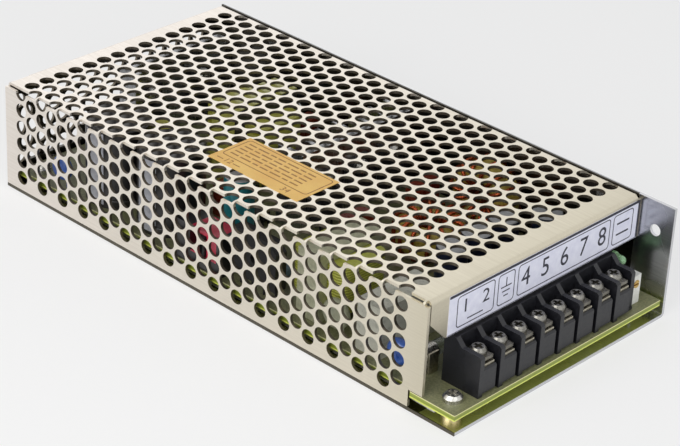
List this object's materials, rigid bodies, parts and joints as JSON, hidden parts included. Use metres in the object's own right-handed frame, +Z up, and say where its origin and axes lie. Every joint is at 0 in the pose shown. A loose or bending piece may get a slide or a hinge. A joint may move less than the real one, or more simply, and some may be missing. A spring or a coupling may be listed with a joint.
{
  "type": "enclosed power supply",
  "caption": "Slim switching power supply in a perforated folded metal case, with a screw terminal block, a trimmer and a status lamp at its front end.",
  "frame": {"origin": "middle of the base's underside, centre of the case's footprint", "axes": "+X to the solid side wall, +Y away from the terminals along the case, +Z up from the base"},
  "size_m": [0.098, 0.199, 0.0381],
  "materials": {
    "aluminium_sheet": "bright rolled sheet",
    "plated_steel": "plated perforated sheet",
    "screw_steel": "plated",
    "brass_plated": "satin",
    "clear_film": "matte film",
    "board_laminate": "laminate",
    "label_paper": "matte print",
    "amber_label": "satin print",
    "black_moulding": "moulded",
    "tinned_brass": "tin plated",
    "white_moulding": "moulded",
    "brass": "turned",
    "green_lamp": "diffused",
    "red_moulding": "moulded",
    "fuse_glass": "clear",
    "nickel": "plated",
    "green_ceramic": "coated",
    "blue_epoxy": "dipped",
    "yellow_box": "moulded",
    "ferrite": "ground",
    "yellow_tape": "taped",
    "capacitor_sleeve": "shrink sleeve",
    "heatsink_aluminium": "extruded",
    "toroid_core": "painted powder core",
    "copper_wire": "enamelled copper",
    "blue_sleeve": "shrink sleeve",
    "teal_sleeve": "shrink sleeve",
    "resistor_body": "coated",
    "brown_box": "dipped"
  },
  "bodies": {
    "case": {"chassis": "aluminium_sheet", "cover": "plated_steel", "cover_screws": "screw_steel", "board_standoffs": "brass_plated", "insulation_film": "clear_film", "circuit_board": "board_laminate", "board_screws": "screw_steel", "front_label": "label_paper", "top_label": "amber_label", "terminal_block": "black_moulding", "terminal_contacts": "tinned_brass", "trimmer_body": "white_moulding", "status_led": "green_lamp", "selector_body": "black_moulding", "fuse_glass": "fuse_glass", "fuse_caps": "nickel", "fuse_clips": "tinned_brass", "thermistor": "green_ceramic", "varistor": "blue_epoxy", "x_capacitor": "yellow_box", "y_capacitors": "blue_epoxy", "choke_core": "ferrite", "choke_winding": "yellow_tape", "bridge_rectifier": "black_moulding", "bulk_capacitors": "capacitor_sleeve", "primary_heatsink": "heatsink_aluminium", "switching_transistors": "black_moulding", "transformer_core": "ferrite", "transformer_winding": "yellow_tape", "transformer_tape": "yellow_tape", "driver_transformer": "yellow_tape", "secondary_heatsink": "heatsink_aluminium", "rectifier_diodes": "black_moulding", "heatsink_screws": "screw_steel", "toroid_cores": "toroid_core", "toroid_windings": "copper_wire", "output_capacitors": "blue_sleeve", "supply_capacitor": "teal_sleeve", "control_chips": "black_moulding", "power_resistors": "resistor_body", "film_capacitors": "brown_box"},
    "clamp_1": {"clamp_plate_1": "screw_steel"},
    "screw_1": {"terminal_screw_1": "screw_steel"},
    "clamp_2": {"clamp_plate_2": "screw_steel"},
    "screw_2": {"terminal_screw_2": "screw_steel"},
    "clamp_3": {"clamp_plate_3": "screw_steel"},
    "screw_3": {"terminal_screw_3": "screw_steel"},
    "clamp_4": {"clamp_plate_4": "screw_steel"},
    "screw_4": {"terminal_screw_4": "screw_steel"},
    "clamp_5": {"clamp_plate_5": "screw_steel"},
    "screw_5": {"terminal_screw_5": "screw_steel"},
    "clamp_6": {"clamp_plate_6": "screw_steel"},
    "screw_6": {"terminal_screw_6": "screw_steel"},
    "clamp_7": {"clamp_plate_7": "screw_steel"},
    "screw_7": {"terminal_screw_7": "screw_steel"},
    "clamp_8": {"clamp_plate_8": "screw_steel"},
    "screw_8": {"terminal_screw_8": "screw_steel"},
    "trimmer": {"trimmer_rotor": "brass"},
    "selector": {"selector_slider": "red_moulding"}
  },
  "joints": [
    {"name": "clamp_lift_1", "type": "slide", "parent": "case", "child": "clamp_1", "axis": [0, 0, 1], "range_m": [-0.0004, 0.0025]},
    {"name": "screw_turn_1", "type": "hinge", "parent": "clamp_1", "child": "screw_1", "pos_m": [-0.03275, -0.0926, 0.018], "axis": [0, 0, 1], "range_deg": [-241, 1501]},
    {"name": "clamp_lift_2", "type": "slide", "parent": "case", "child": "clamp_2", "axis": [0, 0, 1], "range_m": [-0.0004, 0.0025]},
    {"name": "screw_turn_2", "type": "hinge", "parent": "clamp_2", "child": "screw_2", "pos_m": [-0.02385, -0.0926, 0.018], "axis": [0, 0, 1], "range_deg": [-241, 1501]},
    {"name": "clamp_lift_3", "type": "slide", "parent": "case", "child": "clamp_3", "axis": [0, 0, 1], "range_m": [-0.0004, 0.0025]},
    {"name": "screw_turn_3", "type": "hinge", "parent": "clamp_3", "child": "screw_3", "pos_m": [-0.01495, -0.0926, 0.018], "axis": [0, 0, 1], "range_deg": [-241, 1501]},
    {"name": "clamp_lift_4", "type": "slide", "parent": "case", "child": "clamp_4", "axis": [0, 0, 1], "range_m": [-0.0004, 0.0025]},
    {"name": "screw_turn_4", "type": "hinge", "parent": "clamp_4", "child": "screw_4", "pos_m": [-0.00605, -0.0926, 0.018], "axis": [0, 0, 1], "range_deg": [-241, 1501]},
    {"name": "clamp_lift_5", "type": "slide", "parent": "case", "child": "clamp_5", "axis": [0, 0, 1], "range_m": [-0.0004, 0.0025]},
    {"name": "screw_turn_5", "type": "hinge", "parent": "clamp_5", "child": "screw_5", "pos_m": [0.00285, -0.0926, 0.018], "axis": [0, 0, 1], "range_deg": [-241, 1501]},
    {"name": "clamp_lift_6", "type": "slide", "parent": "case", "child": "clamp_6", "axis": [0, 0, 1], "range_m": [-0.0004, 0.0025]},
    {"name": "screw_turn_6", "type": "hinge", "parent": "clamp_6", "child": "screw_6", "pos_m": [0.01175, -0.0926, 0.018], "axis": [0, 0, 1], "range_deg": [-241, 1501]},
    {"name": "clamp_lift_7", "type": "slide", "parent": "case", "child": "clamp_7", "axis": [0, 0, 1], "range_m": [-0.0004, 0.0025]},
    {"name": "screw_turn_7", "type": "hinge", "parent": "clamp_7", "child": "screw_7", "pos_m": [0.02065, -0.0926, 0.018], "axis": [0, 0, 1], "range_deg": [-241, 1501]},
    {"name": "clamp_lift_8", "type": "slide", "parent": "case", "child": "clamp_8", "axis": [0, 0, 1], "range_m": [-0.0004, 0.0025]},
    {"name": "screw_turn_8", "type": "hinge", "parent": "clamp_8", "child": "screw_8", "pos_m": [0.02955, -0.0926, 0.018], "axis": [0, 0, 1], "range_deg": [-241, 1501]},
    {"name": "trimmer_turn", "type": "hinge", "parent": "case", "child": "trimmer", "pos_m": [0.0389, -0.0949, 0.0135], "axis": [0, -1, 0], "range_deg": [-135, 135]},
    {"name": "selector_slide", "type": "slide", "parent": "case", "child": "selector", "axis": [0, 1, 0], "range_m": [0, 0.004]}
  ],
  "couplings": [
    {"joint": "screw_turn_1", "follows": "clamp_lift_1", "rad_per_m": 10472},
    {"joint": "screw_turn_2", "follows": "clamp_lift_2", "rad_per_m": 10472},
    {"joint": "screw_turn_3", "follows": "clamp_lift_3", "rad_per_m": 10472},
    {"joint": "screw_turn_4", "follows": "clamp_lift_4", "rad_per_m": 10472},
    {"joint": "screw_turn_5", "follows": "clamp_lift_5", "rad_per_m": 10472},
    {"joint": "screw_turn_6", "follows": "clamp_lift_6", "rad_per_m": 10472},
    {"joint": "screw_turn_7", "follows": "clamp_lift_7", "rad_per_m": 10472},
    {"joint": "screw_turn_8", "follows": "clamp_lift_8", "rad_per_m": 10472}
  ]
}
